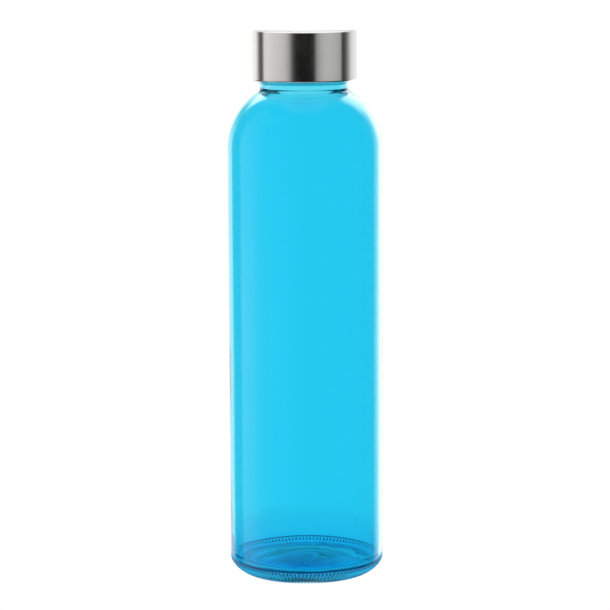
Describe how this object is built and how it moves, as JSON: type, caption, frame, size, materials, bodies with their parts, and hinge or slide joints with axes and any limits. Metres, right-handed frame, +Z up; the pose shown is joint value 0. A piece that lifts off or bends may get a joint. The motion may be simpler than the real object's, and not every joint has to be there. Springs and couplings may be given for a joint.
{
  "type": "glass water bottle",
  "caption": "Slim round glass water bottle with a domed shoulder, a short threaded neck, a knurled base ring and a brushed steel screw cap.",
  "frame": {"origin": "centre of the bottle's bearing ring, on the surface it stands on", "axes": "+Z up along the bottle's axis. The bottle is round, so +X and +Y are free but for the thread's start, which is at +X"},
  "size_m": [0.062, 0.062, 0.22],
  "materials": {
    "glass": "clear blue-tinted glass, polished",
    "steel": "fine circumferential brushing",
    "insert_plastic": "moulded, satin",
    "silicone": "matt silicone"
  },
  "bodies": {
    "bottle": {"glass_bottle": "glass"},
    "seal": {"seal_ring": "silicone"},
    "cap": {"cap_insert": "insert_plastic", "cap_shell": "steel"}
  },
  "joints": [
    {"name": "cap_lift", "type": "slide", "parent": "bottle", "child": "seal", "axis": [0, 0, 1], "range_m": [0, 0.0252]},
    {"name": "cap_turn", "type": "hinge", "parent": "seal", "child": "cap", "pos_m": [0, 0, 0.208], "axis": [0, 0, 1], "range_deg": [0, 2160]}
  ],
  "couplings": [
    {"joint": "cap_lift", "follows": "cap_turn", "m_per_rad": 0.00066845}
  ]
}
